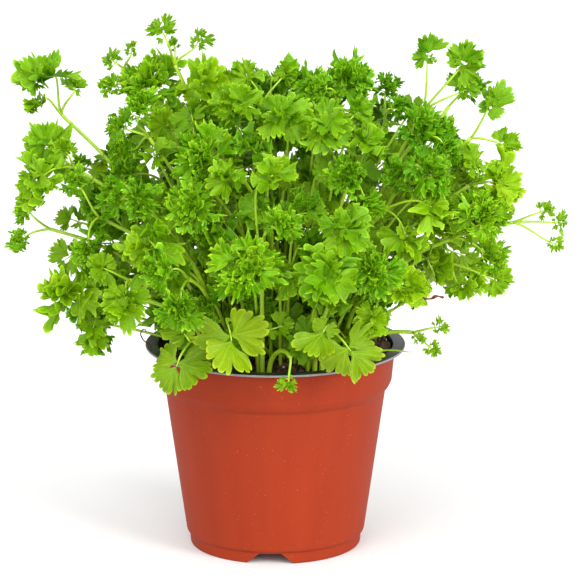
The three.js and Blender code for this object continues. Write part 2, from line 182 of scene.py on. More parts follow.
def bands(first, rings, sides):
    """The triangles between rings of points that follow each other from index first on."""
    j = np.arange(sides)
    k = (j + 1) % sides
    triangles = []
    for low in first + sides * np.arange(rings - 1):
        high = low + sides
        triangles.append(np.stack([low + j, low + k, high + k], 1))
        triangles.append(np.stack([low + j, high + k, high + j], 1))
    return np.concatenate(triangles)


def flipped(triangles):
    """Triangles that face the other way."""
    return triangles[:, [0, 2, 1]]


def stem_mesh(path, radii, sides, ribs=0.0):
    """A closed tube along a path of points, with its ends rounded off."""
    along = np.gradient(path, axis=0)
    along /= np.linalg.norm(along, axis=1, keepdims=True)
    side = unit(np.cross(along[0], [0.31, 0.87, 0.38]))
    angle = ring_angles(sides)
    ridge = 1 + ribs * np.cos(angle * max(1, sides // 2))
    rings = []
    for centre, direction, radius in zip(path, along, radii):
        side = unit(side - direction * (side @ direction))
        other = np.cross(direction, side)
        ring = np.outer(np.cos(angle) * ridge, side) + np.outer(np.sin(angle) * ridge, other)
        rings.append(centre + radius * ring)
    ends = [path[:1] - along[:1] * radii[0], path[-1:] + along[-1:] * radii[-1]]
    count = len(path) * sides
    triangles = [bands(0, len(path), sides), flipped(fan(count, 0, sides)),
                 fan(count + 1, count - sides, sides)]
    return np.concatenate(rings + ends), np.concatenate(triangles)


# ---- reading a leaf's skeleton ----

Head = namedtuple("Head", "end forward face lobes middle depth width")

WELD = 1e-6        # points of a node nearer than this are one
SAME_PLANE = 3e-5
SAME_WAY = 0.9999  # the cosine between two normals of one plane
SAME_LEVEL = 5e-6
# In units of a head's span: its outline's back edge, and how far before it its stalk ends.
THREE_LOBES = {"back": 0.95, "neck": 0.07}
FIVE_LOBES = {"back": 0.746, "neck": 0.302}
FIVE_LOBE_DEPTH = 0.95   # a head this deep for its back edge has five lobes
LEAST_HEAD_DEPTH = 0.25  # a plane smaller than this times its back edge squared is no head
HULL_SLACK = 2e-4        # how far a point may lie outside an outline's edge
LEAST_HEAD = {"curly": 110e-6}  # in square metres: smaller planes are a head's raised lobes
LEAST_OTHER_HEAD = 20e-6
DROP = 2.4 * MM          # how far below its stiff plate a head's middle hangs
INWARD = 0.015           # and how much nearer to the pot's axis
PETIOLE_RINGS = 6        # of a petiole's node, its fork included
FOOT_WIDTH = 3 * MM      # a petiole's foot is narrower than this


def node_mesh(node):
    """A CAD node's welded vertices and its triangles."""
    mesh = NODES[node].data
    points = np.empty(len(mesh.vertices) * 3)
    mesh.vertices.foreach_get("co", points)
    points = points.reshape(-1, 3)
    mesh.calc_loop_triangles()
    triangles = np.empty(len(mesh.loop_triangles) * 3, np.int32)
    mesh.loop_triangles.foreach_get("vertices", triangles)
    grid = np.round(points / WELD).astype(np.int64)
    _, first, back = np.unique(grid, axis=0, return_index=True, return_inverse=True)
    return points[first], back.reshape(-1)[triangles.reshape(-1, 3)]


def flat_faces(points, triangles):
    """The vertices, normal and area of each plane of a mesh that faces up."""
    a, b, c = (points[triangles[:, k]] for k in range(3))
    cross = np.cross(b - a, c - a)
    area = np.linalg.norm(cross, axis=1) / 2
    normal = cross / (2 * area[:, None] + 1e-30)
    offset = (normal * a).sum(1)
    left = np.argsort(-area)
    while len(left):
        first = left[0]
        level = abs(offset[left] - offset[first]) < SAME_PLANE
        same = (normal[left] @ normal[first] > SAME_WAY) & level
        group = left[same]
        left = left[~same]
        if normal[first][2] > 0:
            yield points[np.unique(triangles[group])], normal[first], area[group].sum()


def back_edge(points, normal):
    """The longest edge of a flat outline's hull: its length, its two ends, and the direction from
    it into the outline."""
    best = None
    for i in range(len(points)):
        for j in range(len(points)):
            span = points[j] - points[i]
            length = np.linalg.norm(span)
            if i == j or (best is not None and length <= best[0]):
                continue
            inward = np.cross(normal, span / length)
            if ((points - points[i]) @ inward > -HULL_SLACK).all():
                best = (length, points[i], points[j], inward)
    return best


def settled(points):
    """Points of a head's stiff plate, moved to where the real head hangs."""
    return points - DROP * UP - INWARD * (points - POT_AXIS) * LEVEL


def read_heads(points, triangles, least):
    """Each head: its stalk's end, forward direction, face normal and number of lobes, and its
    outline's middle, half depth and half width."""
    heads = []
    for outline, normal, area in flat_faces(points, triangles):
        if area < least:
            continue
        length, left, right, forward = back_edge(outline, normal)
        if area < LEAST_HEAD_DEPTH * length ** 2:
            continue
        depth = ((outline - left) @ forward).max()
        lobes = 5 if depth > FIVE_LOBE_DEPTH * length else 3
        shape = FIVE_LOBES if lobes == 5 else THREE_LOBES
        span = length / shape["back"]
        end = settled((left + right) / 2 + forward * shape["neck"] * span - normal * MM)
        outline = settled(outline)
        ahead = (outline - end) @ forward
        aside = (outline - end) @ np.cross(normal, forward)
        middle = end + forward * (ahead.max() + ahead.min()) / 2
        depth, width = np.ptp(ahead) / 2, np.ptp(aside) / 2
        heads.append(Head(end, forward, normal, lobes, middle, depth, width))
    return heads


def neighbours(triangles):
    """The set of vertices that each vertex shares a triangle with, itself among them."""
    near = defaultdict(set)
    for triangle in triangles:
        for i in triangle:
            near[i].update(triangle)
    return near


def foot_ring(points):
    """The four vertices of a petiole's foot: the lowest level square that small."""
    order = np.argsort(points[:, 2])
    steps = np.flatnonzero(np.diff(points[order, 2]) > SAME_LEVEL)
    for ring in np.split(order, steps + 1):
        if len(ring) == 4 and np.ptp(points[ring], axis=0).max() < FOOT_WIDTH:
            return set(ring)


def read_petiole(points, triangles):
    """The centres of a petiole's rings from the soil up, the last at its fork."""
    near = neighbours(triangles)
    ring = foot_ring(points)
    seen = set(ring)
    centres = [points[list(ring)].mean(0)]
    while len(ring) == 4:
        ring = set().union(*(near[i] for i in ring)) - seen
        seen |= ring
        if len(ring) == 4:
            centres.append(points[list(ring)].mean(0))
    if len(centres) < PETIOLE_RINGS:
        centres.append(3 * centres[-1] - 3 * centres[-2] + centres[-3])
    return np.array(centres)


# ---- leaflets ----

class Blade:
    """The grid of a closed, thin leaflet: rings from its base to its margin, with more columns
    outwards. Its upper and lower skins share the base, the sides and the margin."""

    def __init__(self, reaches, columns):
        self.u = np.concatenate([np.full(n + 1, reach) for reach, n in zip(reaches, columns)])
        self.v = np.concatenate([np.linspace(-1, 1, n + 1) for n in columns])
        starts = np.cumsum([0] + [n + 1 for n in columns])
        upper = []
        for i in range(len(columns) - 1):
            low, high = starts[i], starts[i + 1]
            j = np.arange(columns[i])
            times = columns[i + 1] // columns[i]
            near, far, first = low + j, low + j + 1, high + times * j
            hub = np.where((j < columns[i] / 2) == (i > 0), far, near)  # no triangle is all rim
            upper += [(hub, first + k, first + k + 1) for k in range(times)]
            upper.append((near, np.where(hub == far, first, first + times), far))
        upper = np.concatenate([np.stack(t, 1) for t in upper])
        rim = (self.u == reaches[0]) | (self.u == reaches[-1]) | (abs(self.v) == 1)
        self.inner = np.flatnonzero(~rim)
        lower_index = np.arange(len(self.u))
        lower_index[self.inner] = len(self.u) + np.arange(len(self.inner))
        self.upper = upper
        self.triangles = np.concatenate([upper, lower_index[upper[:, ::-1]]])


BLADES = {
    "plain": Blade([0.06, 0.5, 1], [3, 9, 27]),
    "fine": Blade([0.06, 0.4, 0.72, 1], [3, 9, 18, 36]),
    "broad": Blade([0.05, 0.36, 0.7, 1], [3, 12, 24, 48]),
    "large": Blade([0.04, 0.26, 0.48, 0.68, 0.85, 1], [3, 9, 18, 36, 72, 72]),
}

# How a way of growing shapes its leaflets. Lengths are shares of a leaflet's own length.
# blade: one of BLADES. lobes: how many, each with so many teeth. side: how much shorter the
# outermost lobes are. lobe, tooth: how deep the cuts between them are. round: near 1 the teeth are
# pointed, from 3 on round. uneven: how much the teeth differ. waist: how narrow the leaflet starts
# beside how wide it ends. ruffle: how far the margin waves up and down, waves: how often on each
# lobe. roll: how far lobes turn aside. curl: how far their tips turn up or down. bend: how much the
# leaflet arches lengthways, channel: how much its sides fold up. vein: how deep the veins lie.
Style = namedtuple("Style", "blade lobes teeth side lobe tooth round uneven waist ruffle waves roll"
                            " curl bend channel vein")
STYLES = {
    "curly": Style("fine", 3, 4, .22, .46, .27, 1.8, .05, .4, .19, 1.3, .4, .8, .6, 1.1, .012),
    "fan": Style("broad", 3, 4, .1, .2, .14, 2.2, .04, .5, .18, 1.2, .22, .4, .5, .65, .016),
    "flat": Style("broad", 3, 4, .2, .26, .14, 3, .04, .5, .08, 1, .25, .4, .5, .6, .014),
    "young": Style("large", 3, 3, .18, .22, .13, 3.6, .035, .6, .05, .8, .24, .24, .7, .7, .014),
    "shade": Style("broad", 3, 4, .2, .32, .15, 2.6, .04, .45, .07, 1, .2, .25, .4, .6, .014),
    "sprig": Style("fine", 3, 3, .28, .44, .22, 1.8, .06, .4, .12, 1.3, .3, .4, .4, .8, .01),
}
THICKNESS = 0.35 * MM
# The ranges of the random factors on a style's roll, curl, ruffle, bend and channel.
ROLLS, LIFTS, FLICKS, BENDS, FOLDS = (-1.5, 1.5), (-1, 1.2), (-1.1, 1.1), (-1.4, 1), (0.1, 1.4)
LOBE_SPREAD = 0.07     # how much one lobe's length differs from the next
SIDEWAYS_RUFFLE = 0.3  # how far the ruffle also swings sideways
VEIN_WIDTH, SIDE_VEIN_WIDTH = 0.13, 0.3  # shares of half a lobe and of half a tooth


def parts_along(v, count):
    """Which of count equal parts of a margin each v from -1 to 1 falls in, and its place in it."""
    place = (v + 1) / 2 * count
    part = np.minimum(place.astype(int), count - 1)
    return part, 2 * (place - part) - 1


def leaflet(sheaf, rng, style, base, heading, up, length, half_angle, tone, blade=None):
    """Adds one leaflet to a sheaf: a wedge from its base, cut into lobes and teeth, and ruffled."""
    blade = BLADES[blade or style.blade]
    u, v = blade.u, blade.v
    lobes, teeth = style.lobes, style.lobes * style.teeth
    lobe, s = parts_along(v, lobes)
    tooth, q = parts_along(v, teeth)
    full = (1 - style.side * v * v) * (1 + rng.normal(0, LOBE_SPREAD, lobes)[lobe] * (1 - s * s))
    sinus = 1 - style.lobe * abs(s) ** 5 * u ** 1.5
    notch = style.tooth * abs(q) ** style.round
    notch += rng.normal(0, style.uneven, teeth)[tooth] * (1 - q * q)
    reach = u * full * sinus * (1 - notch * u ** 4)
    wave = math.pi * style.waves * (s + 2 * lobe) + rng.uniform(0, FULL_TURN)
    angle = half_angle * v * (style.waist + (1 - style.waist) * smooth(u, 0, 0.7))
    angle = angle + style.ruffle * SIDEWAYS_RUFFLE * half_angle * u ** 2 * np.cos(wave)
    main_vein = np.exp(-(s / VEIN_WIDTH) ** 2) * (1 - 0.6 * u)
    side_vein = 0.5 * np.exp(-(q / SIDE_VEIN_WIDTH) ** 2)
    side_vein = side_vein * smooth(u, 0.3, 0.6) * (1 - smooth(u, 0.8, 1))
    vein = np.maximum(main_vein, side_vein)

    x = reach * np.cos(angle)
    y = reach * np.sin(angle)
    roll = rng.uniform(*ROLLS, lobes)[lobe] * style.roll
    lift = rng.uniform(*LIFTS, lobes)[lobe] * style.curl
    flick = rng.uniform(*FLICKS, teeth)[tooth] * style.ruffle
    z = (roll * s * u ** 1.5 * 1.3 + lift * u ** 3 * 0.5) * (1 - s ** 2)
    z += flick * u ** 5 * (1 - q * q)
    z += style.ruffle * u ** 2 * np.sin(wave) - style.vein * vein
    bend = rng.uniform(*BENDS) * style.bend + 1e-3
    fold = rng.uniform(*FOLDS) * style.channel
    z += (1 - np.cos(fold * y)) / fold
    y = np.sin(fold * y) / fold
    x, z = (np.sin(bend * x) / bend - z * np.sin(bend * x),
            (1 - np.cos(bend * x)) / bend + z * np.cos(bend * x))

    across = np.cross(up, heading)
    points = base + length * (np.outer(x, heading) + np.outer(y, across) + np.outer(z, up))
    normals = vertex_normals(points, blade.upper)
    thin = THICKNESS / 2 * (1 - 0.6 * u[blade.inner, None])
    lower = points[blade.inner] - normals[blade.inner] * thin
    points[blade.inner] += normals[blade.inner] * thin
    looks = np.stack([u, v, np.full(len(u), tone), np.zeros(len(u))], 1)
    looks = np.concatenate([looks, looks[blade.inner] + [0, 0, 0, 1]])
    sheaf.add(np.concatenate([points, lower]), blade.triangles, looks)


# ---- heads ----

# Where a head's leaflets stand, by its number of lobes: how far along the rachis, the bearing off
# its direction and the rise out of the head's plane in degrees, and the share of the way from the
# rachis to the outline. All but the foremost come in pairs.
RIM = {
    3: ((1, 0, 0, 1), (0.6, 52, 4, 1), (0.08, 100, 2, 1)),
    5: ((1, 0, 0, 1), (0.66, 48, 4, 1), (0.3, 88, 2, 1), (0, 138, 0, 1)),
}
CROWN = {
    3: ((0.75, 24, 34, 0.75), (0.3, 76, 38, 0.75), (0.95, 150, 18, 0.55)),
    5: ((0.8, 22, 34, 0.7), (0.5, 68, 38, 0.7), (0.15, 115, 38, 0.7), (0.95, 155, 18, 0.5)),
}
TUFT = {
    3: ((0.9, 20, 52, 0.65), (0.7, 60, 60, 0.65), (0.5, 110, 66, 0.65), (0.2, 40, 62, 0.65)),
    5: ((0.9, 15, 52, 0.6), (0.9, 60, 62, 0.6), (0.6, 100, 68, 0.6), (0.3, 40, 72, 0.6),
        (0.1, 130, 60, 0.6)),
}
FAN_RIM = {
    3: ((0.4, 0, -4, 1), (0.15, 88, -8, 1)),
    5: ((0.6, 0, -4, 1), (0.4, 62, -8, 1), (0, 126, -4, 1)),
}
FAN_CROWN = {
    3: ((0.4, 36, 34, 0.8), (0.3, 125, 28, 0.65)),
    5: ((0.55, 30, 34, 0.8), (0.15, 100, 34, 0.75), (0.55, 165, 22, 0.5)),
}
TERNATE = {
    3: ((0.2, 0, 0, 1), (0.05, 98, 4, 1)),
    5: ((0.3, 0, 0, 1), (0.08, 92, 4, 1)),
}

# For each way of growing: the tiers of its heads, each with how many leaflets stand in each place,
# fanned out by FORK_ANGLE, and how far out on the way to the outline their bases are. Then, in
# degrees: how unevenly leaflets rise, turn aside and lean over, and half of the angle each spreads
# over.
Plan = namedtuple("Plan", "tiers rises turns leans half_angle")
HEADS = {
    "curly": Plan(((RIM, 2, 0.3), (CROWN, 1, 0.12), (TUFT, 1, 0.0)), 16, 16, 34, 54),
    "fan": Plan(((FAN_RIM, 1, 0.04), (FAN_CROWN, 1, 0.0)), 18, 14, 30, 64),
    "flat": Plan(((TERNATE, 1, 0.0), (CROWN, 1, 0.05)), 16, 14, 26, 64),
    "young": Plan(((TERNATE, 1, 0.0),), 13, 8, 18, 62),
    "shade": Plan(((RIM, 1, 0.02),), 12, 12, 26, 60),
    "sprig": Plan(((RIM, 1, 0.2), (CROWN, 1, 0.1)), 14, 15, 28, 52),
}
FORK_ANGLE = 34
RACHIS_END, SHORTEST = 0.3, 0.5  # of a head's half depth: the rachis's end past the head's middle,
                                 # and the least length of a leaflet
LENGTHS, WIDTHS = (0.86, 1.14), (0.88, 1.12)  # the ranges of the random factors on a leaflet
TONES = 0.25                     # how much a head's leaflets differ in tone
TWIGGY = 0.1                     # bases further out than this are on twigs


def way_to_rim(head, point, direction):
    """How far a point in a head's plane is from its elliptical outline in a direction."""
    side = np.cross(head.face, head.forward)
    axes = np.array([head.forward / head.depth, side / head.width])
    p, d = axes @ (point - head.middle), axes @ direction
    a, b, c = d @ d, p @ d, p @ p - 1
    return (math.sqrt(max(b * b - a * c, 0)) - b) / a


def leaflet_places(tiers, lobes):
    """Each leaflet's along, bearing, rise and share, and how far out its base is."""
    for tier, fork, clear in tiers:
        for along, bearing, rise, share in tier[lobes]:
            for side in ((1, -1) if bearing else (1,)):
                for k in range(fork):
                    aside = (k - (fork - 1) / 2) * FORK_ANGLE
                    yield along, side * bearing + aside, rise, share, clear


def grow_head(sheaf, rng, growth, head, tone, blade=None):
    """A head of leaflets along a short rachis, within the outline read from its node."""
    style, plan, face = STYLES[growth], HEADS[growth], head.face
    tip = head.middle + RACHIS_END * head.depth * head.forward
    last = max(place[0] for tier, _, _ in plan.tiers for place in tier[head.lobes])
    rachis = head.end + np.outer(np.linspace(0, last, 4), tip - head.end)
    sheaf.add(*stem_mesh(rachis, np.linspace(STALK_HEAD_R, TWIG_R, 4), 5), STEM_LOOKS, 1)
    for along, bearing, rise, share, clear in leaflet_places(plan.tiers, head.lobes):
        out = turned(head.forward, face, math.radians(bearing + rng.normal(0, plan.turns)))
        start = head.end + (tip - head.end) * along
        reach = way_to_rim(head, start, out) * rng.uniform(*LENGTHS)
        lift = math.radians(rise + rng.normal(0, plan.rises))
        heading = math.cos(lift) * out + math.sin(lift) * face
        base = start + clear * reach * heading + STALK_HEAD_R * face
        up = turned(np.cross(heading, np.cross(face, out)), heading,
                    math.radians(rng.normal(0, plan.leans)))
        length = max(reach * (share - clear), SHORTEST * head.depth)
        half_angle = math.radians(plan.half_angle * rng.uniform(*WIDTHS))
        if clear > TWIGGY:
            twig = bezier(start, start, base, base + 0.06 * length * heading, 2)
            sheaf.add(*stem_mesh(twig, np.full(3, TWIG_R), 4), STEM_LOOKS, 1)
        leaflet(sheaf, rng, style, base, heading, up, length, half_angle,
                tone + rng.normal(0, TONES), blade)


# ---- stems ----

PETIOLE_FOOT_R, PETIOLE_FORK_R = 1.3 * MM, 0.8 * MM
STALK_FORK_R, STALK_HEAD_R = 0.65 * MM, 0.42 * MM
TWIG_R = 0.3 * MM
STEM_LOOKS = (0.2, 0.3, 0.0, 0.0)  # no stem's material reads these
ROOT_DEPTH = 4 * MM                # how far into the soil a stem goes
FORK_SWELL, FOOT_SWELL = 0.12, 0.5
LEAF_TONES = 0.3                   # how much leaves differ in tone


def petiole(sheaf, centres):
    """A leaf's main stem through its rings' centres, swollen at its foot and at its fork."""
    root = centres[:1] - UP * ROOT_DEPTH
    path = spline(np.vstack([root, centres]), 5)
    share = np.linspace(0, 1, len(path))
    radii = PETIOLE_FOOT_R + (PETIOLE_FORK_R - PETIOLE_FOOT_R) * share
    radii *= 1 + FORK_SWELL * smooth(share, 0.93, 1) + FOOT_SWELL * (1 - smooth(share, 0, 0.1))
    sheaf.add(*stem_mesh(path, radii, 12, 0.05), STEM_LOOKS, 1)


def stalk(sheaf, fork, arriving, head):
    """A stalk from the fork that bends over and arrives at its head from below."""
    reach = np.linalg.norm(head.end - fork)
    into = unit(head.forward - 0.3 * head.face)
    path = bezier(
        fork, fork + 0.3 * reach * unit(arriving + unit(head.end - fork)),
        head.end - 0.3 * reach * into, head.end, 9)
    radii = np.linspace(STALK_FORK_R, STALK_HEAD_R, len(path))
    sheaf.add(*stem_mesh(path, radii, 8), STEM_LOOKS, 1)


def yellowing_and_shade(place):
    """How much yellower and brighter the foliage is at a place: most low on the +X side, less on
    the
    -X side. High up it is greener and darker instead, which is painted shade."""
    x, _, z = (place - POT_AXIS) / MM
    # the drop high up is painted shade on the upper heads
    right = 1.05 * smooth(x, 15, 75) * (1 - 1.6 * smooth(z, 165, 205))
    left = 0.5 * smooth(-x, 70, 115) * (1 - 2 * smooth(z, 185, 215))
    return right + left


FLAT_EVERY = 3  # one in so many fan leaves has few, broad leaflets that hardly ruffle
grown_heads = []


def grow_leaf(node, seed):
    """Builds a whole leaf around its node's skeleton and puts it in the node's place."""
    habit = node.split("_")[0]
    growth = "flat" if habit == "fan" and seed % FLAT_EVERY == 0 else habit
    rng = np.random.default_rng(seed)
    points, triangles = node_mesh(node)
    centres = read_petiole(points, triangles)
    fork, arriving = centres[-1], unit(centres[-1] - centres[-2])
    sheaf = Sheaf()
    petiole(sheaf, centres)
    tone = rng.normal(0, LEAF_TONES)
    for head in read_heads(points, triangles, LEAST_HEAD.get(habit, LEAST_OTHER_HEAD)):
        grown_heads.append(head.middle)
        stalk(sheaf, fork, arriving, head)
        grow_head(sheaf, rng, growth, head, tone + yellowing_and_shade(head.middle))
    leaf = sheaf.build(f"grown_{node}", BLADE_MATERIALS[habit], STEM_MATERIAL)
    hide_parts(node)
    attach(leaf, "root")


# ---- materials ----

def srgb(red, green, blue):
    """A linear colour from sRGB values of 0 to 255."""
    return (*(((c / 255 + 0.055) / 1.055) ** 2.4 if c > 10 else c / 255 / 12.92
              for c in (red, green, blue)), 1)


def feed(tree, inputs, values):
    """Gives each named or numbered input its number, its colour, or another node's output."""
    for key, value in values.items():
        if isinstance(value, bpy.types.NodeSocket):
            tree.links.new(value, inputs[key])
        else:
            inputs[key].default_value = value


def node(tree, kind, inputs, output=0, **properties):
    """An output of a new shader node with the given inputs and properties."""
    made = tree.nodes.new(kind)
    for key, value in properties.items():
        setattr(made, key, value)
    feed(tree, made.inputs, inputs)
    return made.outputs[output]


def math_node(tree, operation, *values):
    return node(tree, "ShaderNodeMath", dict(enumerate(values)), operation=operation)


def multiply_add(tree, value, factor, more):
    return math_node(tree, "MULTIPLY_ADD", value, factor, more)


def multiply(tree, a, b):
    return math_node(tree, "MULTIPLY", a, b)


def mix_colour(tree, factor, a, b, blend="MIX"):
    inputs = {0: factor, 6: a, 7: b}
    return node(tree, "ShaderNodeMix", inputs, 2, data_type="RGBA", blend_type=blend)


def noise_texture(tree, scale, detail, roughness=0.6, squeeze=None):
    """Noise with scale lumps to a metre, and squeeze times as many along each axis."""
    place = node(tree, "ShaderNodeTexCoord", {}, "Object")
    if squeeze:
        place = node(tree, "ShaderNodeMapping", {"Vector": place, "Scale": squeeze})
    return node(tree, "ShaderNodeTexNoise", {
        "Vector": place, "Scale": scale, "Detail": detail, "Roughness": roughness}, "Fac")


def attribute(tree, name):
    return node(tree, "ShaderNodeAttribute", {}, "Fac", attribute_name=name)


def ramped(tree, value, start, end):
    """0 where a value is at start, 1 at end, and a soft step between them."""
    return node(tree, "ShaderNodeMapRange", {"Value": value, "From Min": start, "From Max": end},
                interpolation_type="SMOOTHSTEP")


def relief(tree, height, strength, distance):
    return node(tree, "ShaderNodeBump", {
        "Height": height, "Strength": strength, "Distance": distance})


def new_material(name):
    """A node material, its node tree and its main shader."""
    material = bpy.data.materials.new(name)
    material.use_nodes = True
    return material, material.node_tree, material.node_tree.nodes["Principled BSDF"]


def mottled_material(name, roughness, mottle, dark, light, bump=None, toned=0.0, **more):
    """A material that varies between two colours. mottle is its noise's scale, detail and
    roughness, bump that noise's relief, toned how much the tone brightens the colour, and more the
    shader's other inputs."""
    material, tree, shader = new_material(name)
    mottle = noise_texture(tree, *mottle)
    colour = mix_colour(tree, mottle, dark, light)
    if toned:
        tone = multiply_add(tree, attribute(tree, "tone"), toned, 1.0)
        colour = node(tree, "ShaderNodeHueSaturation", {"Color": colour, "Value": tone})
    feed(tree, shader.inputs, {"Base Color": colour, "Roughness": roughness, **more})
    if bump:
        feed(tree, shader.inputs, {"Normal": relief(tree, mottle, *bump)})
    return material


def vein_lines(tree, reach, across, count, width):
    """count veins that fan out from a leaflet's base, each this wide as a share of its length."""
    turns = math_node(tree, "FRACT", multiply_add(tree, across, count / 2, count / 2))
    aside = math_node(tree, "ABSOLUTE", math_node(tree, "SUBTRACT", turns, 0.5))
    distance = multiply(tree, multiply(tree, aside, reach), 2 / count)
    return ramped(tree, distance, 1.5 * width, 0.5 * width)


# Each habit's blade in sRGB: deep near the base (partly the leaflet's own deeper green, partly
# painted shade where leaflets crowd), main colour, margin (partly the leaf's paler edge, partly a
# painted highlight), vein and underside.
BLADE_COLOURS = {
    "curly": ((84, 152, 2), (106, 176, 3), (168, 216, 44), (140, 194, 26), (114, 168, 14)),
    "fan": ((104, 163, 2), (121, 177, 2), (163, 208, 30), (151, 198, 28), (128, 176, 20)),
    "young": ((106, 155, 1), (125, 164, 3), (170, 196, 34), (152, 186, 26), (130, 166, 20)),
    "shade": ((102, 156, 4), (122, 174, 6), (142, 188, 18), (130, 174, 16), (118, 162, 14)),
    "sprig": ((92, 152, 1), (118, 176, 4), (162, 204, 34), (146, 190, 30), (124, 170, 22)),
}
MAIN_VEIN, TOOTH_VEIN = 0.024, 0.014  # widths, as shares of a leaflet's length
THROUGH = 0.4                         # the share of its look that is light through the leaf
THROUGH_TINT = (1.0, 1.0, 0.3, 1)


def blade_material(habit):
    """A thin leaf: base to margin colours, veins, mottling, soft gloss, and light through it."""
    deep, main, margin, vein, under = (srgb(*colour) for colour in BLADE_COLOURS[habit])
    material, tree, shader = new_material(f"{habit}_blade")
    reach, across, tone, below = (attribute(tree, look) for look in Sheaf.LOOKS)
    ramp = tree.nodes.new("ShaderNodeValToRGB")
    feed(tree, ramp.inputs, {0: reach})
    stops = ramp.color_ramp.elements
    # near the base: partly the leaflet's deeper green, partly painted shade where the leaflets
    # crowd
    stops[0].position, stops[0].color = 0.05, deep
    # at the margin: partly the leaf's paler edge, partly a painted highlight along the rim
    stops[1].position, stops[1].color = 0.98, margin
    for place in (0.5, 0.9):
        stops.new(place).color = main
    wavy = multiply_add(tree, noise_texture(tree, 250, 1), 0.12, across)
    main_veins = multiply(tree, vein_lines(tree, reach, wavy, 3, MAIN_VEIN),
                          ramped(tree, reach, 1.2, 0.5))
    teeth = STYLES[habit].lobes * STYLES[habit].teeth
    side_veins = multiply(tree, vein_lines(tree, reach, wavy, teeth, TOOTH_VEIN),
                          ramped(tree, reach, 0.3, 0.55))
    veins = math_node(tree, "MAXIMUM", main_veins, side_veins)
    colour = mix_colour(tree, multiply(tree, veins, 0.6), ramp.outputs[0], vein)
    colour = mix_colour(tree, multiply(tree, below, 0.75), colour, under)
    shade = multiply_add(tree, noise_texture(tree, 420, 4), 0.5, 0.78)
    yellowed = multiply_add(tree, tone, -0.012, 0.512)
    colour = node(tree, "ShaderNodeHueSaturation", {
        "Color": colour, "Value": multiply_add(tree, tone, 0.14, shade),
        "Hue": multiply_add(tree, noise_texture(tree, 60, 2), -0.03, yellowed)})
    height = multiply_add(tree, noise_texture(tree, 900, 3), 0.7, multiply(tree, veins, -1.0))
    feed(tree, shader.inputs, {
        "Base Color": colour, "Roughness": 0.45, "Specular IOR Level": 0.26,
        "Normal": relief(tree, height, 0.6, 0.25 * MM)})
    glow = mix_colour(tree, 1.0, colour, THROUGH_TINT, "MULTIPLY")
    through = node(tree, "ShaderNodeBsdfTranslucent", {"Color": glow})
    mixed = node(tree, "ShaderNodeMixShader", {0: THROUGH, 1: shader.outputs[0], 2: through})
    feed(tree, tree.nodes["Material Output"].inputs, {"Surface": mixed})
    return material


STEM_MATERIAL = mottled_material(
    "stem", 0.4, (240, 3), srgb(128, 174, 8), srgb(180, 210, 52), **{
        "Subsurface Weight": 0.15, "Subsurface Radius": (0.4, 0.6, 0.1), "Subsurface Scale": MM})
BLADE_MATERIALS = {habit: blade_material(habit) for habit in BLADE_COLOURS}

for seed, name in enumerate(sorted(n for n in NODES if "leaf" in n)):
    grow_leaf(name, seed)


# ---- inner foliage ----

# The zones to fill, in millimetres: middle beside the pot's axis, radii, and how many heads.
FILL_ZONES = (((4, 2, 162), (88, 76, 58), 118), ((0, 0, 116), (52, 48, 24), 34),
              ((58, 8, 122), (12, 18, 8), 4), ((-80, -4, 115), (9, 24, 12), 5),
              ((84, 0, 151), (10, 24, 9), 4), ((-74, 0, 156), (9, 24, 9), 4))
FILL_SPOTS = 5000   # places tried in each zone
FILL_PIECES = 6     # sectors round the axis
FILL_FOOT_R = 34 * MM
FILL_SIZES = (10.5, 14)
FILL_STEM_R = (0.95, 0.4)
CROWN_MIDDLE = POT_AXIS + UP * 130 * MM
SOIL_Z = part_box("potting_soil")[1].z


def empty_places(rng):
    """Points in the crown that are as far as can be from every head and from each other."""
    for centre, radii, count in FILL_ZONES:
        spots = rng.normal(size=(FILL_SPOTS, 3))
        far_out = rng.uniform(size=(FILL_SPOTS, 1)) ** (1 / 3)
        spots *= far_out / np.linalg.norm(spots, axis=1, keepdims=True)
        spots = POT_AXIS + (centre + spots * radii) * MM
        near = np.min([np.linalg.norm(spots - head, axis=1) for head in grown_heads], axis=0)
        for _ in range(count):
            chosen = spots[near.argmax()]
            grown_heads.append(chosen)
            near = np.minimum(near, np.linalg.norm(spots - chosen, axis=1))
            yield chosen


def inner_leaf(sheaf, rng, habit, middle):
    """A leaf of one head, on its own thin stem from the soil."""
    away = unit((middle - CROWN_MIDDLE) * [1, 1, 0.5] + rng.normal(0, 12, 3) * MM)
    face = unit(0.55 * away + 0.6 * UP + rng.normal(0, 0.3, 3))
    forward = unit(np.cross(np.cross(face, away + rng.normal(0, 0.5, 3)), face))
    lobes = 5 if rng.uniform() < 0.6 else 3
    size = rng.uniform(*FILL_SIZES) * MM
    end = middle - 0.35 * size * forward
    head = Head(end, forward, face, lobes, middle, 0.92 * size, size)
    lean = (middle - POT_AXIS) * LEVEL
    foot = POT_AXIS + lean * min(0.4, FILL_FOOT_R / np.linalg.norm(lean))
    foot = (foot + rng.normal(0, 5, 3) * MM * LEVEL) * LEVEL + UP * (SOIL_Z - ROOT_DEPTH)
    height = end[2] - foot[2]
    into = unit(forward - 0.5 * face)
    path = bezier(foot, foot + UP * 0.45 * height, end - 0.13 * height * into, end, 12)
    sheaf.add(*stem_mesh(path, np.linspace(*FILL_STEM_R, 13) * MM, 8), STEM_LOOKS, 1)
    # a tone below the grown leaves' makes the inner heads a little darker and greener: painted
    # shade
    grow_head(sheaf, rng, habit, head, rng.normal(-0.2, 0.3) + yellowing_and_shade(middle), "plain")


